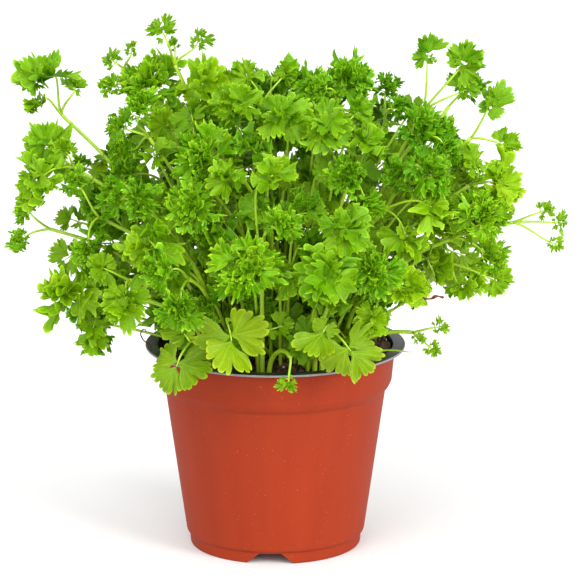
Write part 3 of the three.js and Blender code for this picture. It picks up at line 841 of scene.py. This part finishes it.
def fill_crown():
    """Leaves between the grown ones, a piece for each habit and sector round the axis."""
    rng = np.random.default_rng(42)
    sheaves = {}
    for place in empty_places(rng):
        habit = rng.choice(["shade", "fan", "curly"], p=[0.4, 0.38, 0.22])
        bearing = math.atan2(place[1], place[0] - POT_AXIS[0])
        sector = int((bearing / math.pi + 1) / 2 * FILL_PIECES) % FILL_PIECES
        inner_leaf(sheaves.setdefault((sector, habit), Sheaf()), rng, habit, place)
    for (sector, habit), sheaf in sorted(sheaves.items()):
        piece = sheaf.build(f"inner_{habit}_{sector + 1}", BLADE_MATERIALS[habit], STEM_MATERIAL)
        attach(piece, "root")


fill_crown()


# ---- stray bits on the rim ----

# Paths beside the pot's axis, in millimetres.
DRY_STALK = ((28, 0, 84), (36, -6, 104), (50, -18, 119), (62, -26, 122.5), (70, -30, 123),
             (73, -31, 124.5), (76, -31, 124))
GRASS_BLADE = ((36, -20, 84), (42, -23, 92), (47, -25, 97), (54, -26, 98), (60, -27, 97.4),
               (64, -27.5, 97.6))
DRY_ROOT = ((-55, -8, 90), (-57.5, -8, 95.5), (-60.5, -8, 98), (-62, -7, 101), (-60.5, -6, 103),
            (-59, -6, 101.5))
GRASS_SIDES = 8
GRASS_FLATTENED = 0.75  # how much of its height the blade of grass loses


def rim_path(path):
    return spline(POT_AXIS + np.array(path) * MM, 5)


def grow_stray_bits():
    """A dead stalk, a thin blade of grass and a dry root, which hang out over the pot's rim."""
    sheaf = Sheaf()
    path = rim_path(DRY_STALK)
    swelling = 1 + 0.4 * np.sin(np.linspace(0, 26, len(path)))
    sheaf.add(*stem_mesh(path, 0.6 * MM * swelling, 7, 0.15), STEM_LOOKS)
    path = rim_path(DRY_ROOT)
    sheaf.add(*stem_mesh(path, np.linspace(0.4, 0.2, len(path)) * MM, 6), STEM_LOOKS)
    dry = sheaf.build("dry_stalk_and_root", mottled_material(
        "dry_stalk", 0.8, (400, 4), srgb(62, 26, 16), srgb(130, 66, 44)))
    sheaf = Sheaf()
    path = rim_path(GRASS_BLADE)
    radii = (0.3 + np.sin(math.pi * np.linspace(0, 1, len(path)) ** 0.7)) * MM
    points, triangles = stem_mesh(path, radii, GRASS_SIDES)
    middles = np.concatenate([np.repeat(path, GRASS_SIDES, axis=0), path[:1], path[-1:]])
    points[:, 2] += GRASS_FLATTENED * (middles - points)[:, 2]
    sheaf.add(points, triangles, STEM_LOOKS)
    blade = sheaf.build("grass_blade", STEM_MATERIAL)
    for piece, slot in ((dry, "shade_leaf"), (blade, "sprig_leaf")):
        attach(piece, "root")


grow_stray_bits()


# ---- the pot ----

POT_SEGMENTS = 192
BASE_PLATE_R = 30 * MM            # everything nearer to the axis is the base plate
MIDDLE_HOLE_R = 6 * MM            # the middle hole is inside this, the others round it
FILLET, FILLET_STEPS = 0.45 * MM, 4
POT_CREASE = math.radians(50)     # a fold sharper than this isn't shaded smooth
WAVER = 0.12 * MM                 # how uneven the wall is
ON_PLANE, SAME_HEIGHT = 0.01 * MM, 0.1 * MM
LEAST_NOTCH = math.radians(20)    # a wider gap in the foot ring is a notch
NOTCH_DEPTH = 14 * MM             # how far the cutters reach, outwards and up
DRAIN_DEPTH = 6 * MM
DRAIN_SEGMENTS, DRAIN_TURN = 32, 0.03  # turned, so that it is clear of the pot's own corners
SPECK = 0.003 * MM                # points nearer than this are one
POT_OUTSIDE, POT_INSIDE, POT_CUT_EDGE = range(3)


def around_axis(points):
    """Distance from the pot's axis, bearing about it, and height."""
    x, y = points[:, 0] - POT_AXIS[0], points[:, 1] - POT_AXIS[1]
    return np.hypot(x, y), np.arctan2(y, x), points[:, 2]


def section_of(points, triangles, inner_r=-1.0):
    """A turned node's uncut section towards +Y: r and z, from below outwards."""
    r, _, z = around_axis(points)
    aside = abs(points[:, 0] - POT_AXIS[0]) < ON_PLANE
    chosen = set(np.flatnonzero(aside & (points[:, 1] > POT_AXIS[1] - ON_PLANE) & (r > inner_r)))
    near = {i: near & chosen - {i} for i, near in neighbours(triangles).items()}
    ends = [i for i in chosen if len(near[i]) == 1]
    chain = [min(ends, key=lambda i: z[i])]
    while near[chain[-1]] - set(chain):
        chain.append(min(near[chain[-1]] - set(chain), key=lambda i: abs(z[i] - z[chain[-1]])))
    return np.stack([r[chain], z[chain]], 1)


def filleted(profile, radius, steps):
    """A profile with its corners rounded, and the number of the original stretch at each point."""
    rounded, stretch = [profile[0]], [0]
    for i in range(1, len(profile) - 1):
        before, corner, after = profile[i - 1:i + 2]
        a, b = before - corner, after - corner
        cut = min(radius, 0.45 * np.linalg.norm(a), 0.45 * np.linalg.norm(b))
        start, end = corner + unit(a) * cut, corner + unit(b) * cut
        for t in np.linspace(0, 1, steps + 1):
            rounded.append((1 - t) ** 2 * start + 2 * t * (1 - t) * corner + t * t * end)
            stretch.append(i if t > 0.5 else i - 1)
    return np.array(rounded + [profile[-1]]), stretch + [len(profile) - 2]


def pot_notches(points):
    """Each notch in the foot ring: its bearing, half widths at the ground and at its top, and its
    top's height."""
    r, bearing, z = around_axis(points)
    ceiling = z[r < BASE_PLATE_R].min()
    on_ground = z < SAME_HEIGHT
    outer = r > r[on_ground].max()
    ground = np.sort(bearing[on_ground])
    for start, gap in zip(ground, np.diff(np.append(ground, ground[0] + FULL_TURN))):
        if gap > LEAST_NOTCH:
            middle = start + gap / 2
            here = np.cos(bearing - middle) > math.cos(gap * 0.6)
            aside = abs(r * np.sin(bearing - middle))
            low = aside[here & on_ground].min()
            high = aside[here & outer & (abs(z - ceiling) < SAME_HEIGHT)].max()
            yield middle, low, high, ceiling


def drain_holes(points):
    """The centre and radius of each hole in the base plate."""
    r, bearing, z = around_axis(points)
    under = (r < BASE_PLATE_R) & (abs(z - z[r < BASE_PLATE_R].min()) < SAME_HEIGHT)
    sector = np.where(r < MIDDLE_HOLE_R, -1, np.round(bearing / (math.pi / 3)) % 6)
    for kind in np.unique(sector[under]):
        ring = points[under & (sector == kind)]
        centre = ring.mean(0)
        yield centre, np.linalg.norm(ring - centre, axis=1).mean()


def cut_away(piece, cutters):
    """Takes closed meshes away from a piece, and removes them."""
    for cutter in cutters:
        modifier = piece.modifiers.new("cut", "BOOLEAN")
        modifier.operation = "DIFFERENCE"
        modifier.solver = "EXACT"
        modifier.object = cutter
    graph = bpy.context.evaluated_depsgraph_get()
    mesh = bpy.data.meshes.new_from_object(piece.evaluated_get(graph))
    piece.modifiers.clear()
    piece.data = mesh
    tidy = bmesh.new()
    tidy.from_mesh(mesh)
    bmesh.ops.remove_doubles(tidy, verts=tidy.verts, dist=SPECK)
    bmesh.ops.dissolve_degenerate(tidy, edges=tidy.edges, dist=SPECK)
    tidy.to_mesh(mesh)
    tidy.free()
    for cutter in cutters:
        bpy.data.objects.remove(cutter)


def prism(name, corners, direction, length):
    """A closed prism: a flat polygon, anticlockwise about a direction, pushed that way."""
    corners = np.array(corners)
    points = np.concatenate([corners, corners + direction * length])
    n = len(corners)
    faces = [tuple(reversed(range(n))), tuple(range(n, 2 * n))]
    faces += [(i, (i + 1) % n, n + (i + 1) % n, n + i) for i in range(n)]
    mesh = bpy.data.meshes.new(name)
    mesh.from_pydata(points.tolist(), [], faces)
    return new_object(name, mesh)


def notch_cutter(bearing, low, high, ceiling):
    """A wedge that cuts a notch out of the foot ring, from just below the ground."""
    out = np.array([math.cos(bearing), math.sin(bearing), 0])
    aside = np.cross(UP, out)
    start = POT_AXIS + out * BASE_PLATE_R
    below = 1 * MM
    flare = low + (low - high) * below / ceiling
    corners = [start + aside * w + UP * z for w, z in
               ((-flare, -below), (flare, -below), (high, ceiling), (-high, ceiling))]
    return prism("notch", corners, out, NOTCH_DEPTH)


def drain_cutter(centre, radius):
    """A cylinder that cuts a hole through the base plate."""
    start = centre - UP * 2 * MM
    corners = [start + radius * np.array([math.cos(t), math.sin(t), 0])
               for t in ring_angles(DRAIN_SEGMENTS) + DRAIN_TURN]
    return prism("drain", corners, UP, DRAIN_DEPTH)


def build_pot():
    """The node's section with rounded corners, turned finely and cut as the node is."""
    points, triangles = node_mesh("pot")
    profile = section_of(points, triangles, BASE_PLATE_R)
    halfway = np.array([0.5, 1])  # to the axis, on the base plate
    section, stretch = filleted(
        np.vstack([profile[0] * halfway, profile, profile[-1] * halfway]), FILLET, FILLET_STEPS)
    edge = profile[:, 0].argmax() + 1
    corners = []
    for r, z in section:
        for t in ring_angles(POT_SEGMENTS):
            waver = noise.noise((3 * math.cos(t), 3 * math.sin(t), z * 25))
            size = r + WAVER * waver * smooth(z, 3 * MM, 20 * MM)
            corners.append((POT_AXIS[0] + size * math.cos(t), POT_AXIS[1] + size * math.sin(t), z))
    last = len(corners)
    corners += [(*POT_AXIS[:2], profile[0][1]), (*POT_AXIS[:2], profile[-1][1])]
    around = [(j, (j + 1) % POT_SEGMENTS) for j in range(POT_SEGMENTS)]
    faces, kinds = [], []
    for low, part in zip(range(0, last - POT_SEGMENTS, POT_SEGMENTS), stretch):
        high = low + POT_SEGMENTS
        faces += [(low + j, low + k, high + k, high + j) for j, k in around]
        kinds.append(POT_OUTSIDE if part < edge else POT_CUT_EDGE if part == edge else POT_INSIDE)
    faces += [(k, j, last) for j, k in around]
    faces += [(high + j, high + k, last + 1) for j, k in around]
    data = bpy.data.meshes.new("nursery_pot")
    data.from_pydata(corners, [], faces)
    kinds = np.repeat(kinds + [POT_OUTSIDE, POT_INSIDE], POT_SEGMENTS)
    data.polygons.foreach_set("material_index", kinds)
    data.shade_smooth()
    pot = new_object("nursery_pot", data)
    data.materials.append(pot_outside_material())
    data.materials.append(mottled_material(  # the inner layer, dusty and scuffed
        "black_plastic", 0.42, (130, 6, 0.7), srgb(12, 13, 13), srgb(44, 44, 43), (0.3, 0.15 * MM)))
    data.materials.append(mottled_material(
        "cut_edge_plastic", 0.5, (300, 3), srgb(92, 92, 92), srgb(150, 148, 146)))
    cutters = [notch_cutter(*notch) for notch in pot_notches(points)]
    cutters += [drain_cutter(*hole) for hole in drain_holes(points)]
    cut_away(pot, cutters)
    pot.data.set_sharp_from_angle(angle=POT_CREASE)
    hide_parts("pot")
    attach(pot, "root")


def pot_outside_material():
    """Satin terracotta plastic: faint flow streaks, fine pale specks of dust, soft sheen."""
    material, tree, shader = new_material("terracotta_plastic")
    streaks = noise_texture(tree, 90, 4, 0.5, squeeze=(1, 1, 0.12))
    colour = mix_colour(tree, streaks, srgb(129, 36, 5), srgb(144, 45, 9))
    specks = math_node(tree, "GREATER_THAN", noise_texture(tree, 1500, 1, 0.5), 0.77)
    colour = mix_colour(tree, multiply(tree, specks, 0.28), colour, srgb(232, 170, 140))
    feed(tree, shader.inputs, {
        "Base Color": colour, "Specular IOR Level": 0.2,
        "Roughness": multiply_add(tree, noise_texture(tree, 35, 4), 0.18, 0.56),
        "Normal": relief(tree, noise_texture(tree, 700, 3), 0.25, 0.1 * MM)})
    return material


# ---- the soil ----

SOIL_RINGS, SOIL_SEGMENTS = 44, 132
CRUMBS, PERLITE, FIBRES = 620, 22, 50
CRUMB_SIZES = (0.5 * MM, 2.0 * MM)
FINE_CRUMB = 1.2 * MM                # crumbs larger than this have a finer mesh
SOIL_FALL, SOIL_BANK = 4.2 * MM, 6 * MM  # down to the wall, and up at BANK_BEARING
BANK_BEARING = 0.5
SOIL_LUMPS, SOIL_SUNK = 1.3 * MM, 0.6 * MM


def soil_height(x, y, reach, top):
    """A lumpy surface, lower at the pot's wall."""
    r = math.hypot(x, y)
    fall = SOIL_FALL * (r / reach) ** 2
    towards = math.cos(math.atan2(y, x) - BANK_BEARING)
    bank = SOIL_BANK * smooth(r / reach, 0.5, 0.95) * smooth(towards, 0.3, 0.9)
    lumps = noise.fractal((x * 70, y * 70, 3.1), 0.6, 2.1, 5)
    return top - fall + bank - SOIL_SUNK + lumps * SOIL_LUMPS


def pebble(detail):
    """The points and triangles of a small round stone, to be squeezed and roughened."""
    mesh = bmesh.new()
    bmesh.ops.create_icosphere(mesh, subdivisions=detail, radius=1)
    points = np.array([v.co for v in mesh.verts])
    triangles = np.array([[v.index for v in f.verts] for f in mesh.faces])
    mesh.free()
    return points, triangles


def scattered(rng, reach):
    """A random place within a circle."""
    r, t = reach * math.sqrt(rng.uniform()), rng.uniform(0, FULL_TURN)
    return r * math.cos(t), r * math.sin(t)


def build_soil():
    """A lumpy top within the node's section, with crumbs, perlite and fibres on it."""
    rng = np.random.default_rng(7)
    section = section_of(*node_mesh("potting_soil"))
    widest = section[:, 0].argmax()
    reach, top = section[widest, 0], section[:, 1].max()
    sheaf = Sheaf()
    turn = ring_angles(SOIL_SEGMENTS)
    circle = np.stack([np.cos(turn), np.sin(turn), 0 * turn], 1)
    surface = [circle * reach * (i + 1) / SOIL_RINGS for i in range(SOIL_RINGS)]
    surface = np.concatenate([np.zeros((1, 3))] + surface)
    for p in surface:
        p[2] = soil_height(p[0], p[1], reach, top)
    wall = [circle * r + UP * z for r, z in section[1:widest][::-1]]
    points = np.concatenate([surface] + wall + [[UP * section[0, 1]]]) + POT_AXIS
    last = len(points) - 1
    triangles = np.concatenate([
        fan(0, 1, SOIL_SEGMENTS), flipped(bands(1, SOIL_RINGS + len(wall), SOIL_SEGMENTS)),
        flipped(fan(last, last - SOIL_SEGMENTS, SOIL_SEGMENTS))])
    sheaf.add(points, triangles, (0, 0, 0, 0))

    coarse, fine = pebble(1), pebble(2)
    for count, material in ((CRUMBS, 0), (PERLITE, 1)):
        for _ in range(count):
            size = rng.uniform(*CRUMB_SIZES)
            shape, faces = fine if size > FINE_CRUMB else coarse
            x, y = scattered(rng, reach - size)
            rough = 1 + rng.normal(0, 0.16, len(shape))[:, None]
            squeeze = rng.uniform(0.6, 1.15, 3)
            centre = [x, y, soil_height(x, y, reach, top) + 0.35 * size]
            tone = rng.normal(0, 0.5)
            sheaf.add(shape * rough * squeeze * size + centre + POT_AXIS, faces,
                      (0, 0, tone, 0), material)
    for _ in range(FIBRES):
        x, y = scattered(rng, reach - 8 * MM)
        lie = rng.uniform(0, FULL_TURN)
        length = rng.uniform(4, 12) * MM
        path = []
        for share in np.linspace(-0.5, 0.5, 6):
            step, bearing = share * length, lie + share
            here = x + step * math.cos(bearing), y + step * math.sin(bearing)
            path.append([*here, soil_height(*here, reach, top) + 0.5 * MM])
        radius = rng.uniform(0.15, 0.4) * MM
        sheaf.add(*stem_mesh(np.array(path) + POT_AXIS, np.full(6, radius), 5), (0, 0, 1.6, 0))
    peat = mottled_material("peat", 0.9, (500, 6, 0.75), srgb(26, 17, 12), srgb(92, 66, 44),
                            (0.8, 0.4 * MM), 0.35)
    perlite = mottled_material("perlite", 0.85, (900, 4), srgb(150, 140, 124), srgb(222, 216, 204))
    soil = sheaf.build("crumbly_soil", peat, perlite)
    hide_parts("potting_soil")
    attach(soil, "root")


build_pot()
build_soil()


# ---- camera, floor and light ----

CAMERA_PLACE = Vector((POT_AXIS[0], -1.925, 0.588))
AIM = Vector((0.0007, 0.0, 0.119))
LENS, SENSOR = 265, 36  # in millimetres
# Each soft light's direction from the pot, its width in degrees, and its strength.
SUNS = {"key": ((-0.7, -1.2, 1.3), 35, 1.4), "fill": ((1.2, -1.1, 0.8), 25, 2.4),
        "front": ((0, -1.2, 0.35), 40, 1.1)}
SKY = 1.15


def facing(direction):
    """The turn that points a camera or a lamp in a direction."""
    return direction.to_track_quat("-Z", "Y").to_euler()


def make_camera():
    data = bpy.data.cameras.new("camera")
    data.lens, data.sensor_width = LENS, SENSOR
    camera = new_object("camera", data)
    camera.location = CAMERA_PLACE
    camera.rotation_euler = facing(AIM - CAMERA_PLACE)
    bpy.context.scene.camera = camera


def make_floor():
    """A plain pale floor that fills the view."""
    bpy.ops.mesh.primitive_circle_add(vertices=128, radius=6, fill_type="NGON")
    floor = bpy.context.object
    floor.name = "floor"
    floor.data.materials.append(
        mottled_material("floor", 0.9, (2, 2), (0.7, 0.7, 0.7, 1), (0.74, 0.74, 0.74, 1)))


def make_light():
    """An even white sky, and suns as wide as large softboxes."""
    world = bpy.data.worlds.new("studio")
    bpy.context.scene.world = world
    world.use_nodes = True
    background = world.node_tree.nodes["Background"]
    background.inputs["Color"].default_value = (1, 1, 1, 1)
    background.inputs["Strength"].default_value = SKY
    for name, (direction, width, strength) in SUNS.items():
        data = bpy.data.lights.new(name, "SUN")
        data.angle = math.radians(width)
        data.energy = strength
        new_object(name, data).rotation_euler = facing(-Vector(direction))


make_camera()
make_floor()
make_light()
bpy.context.scene.view_settings.view_transform = "Standard"
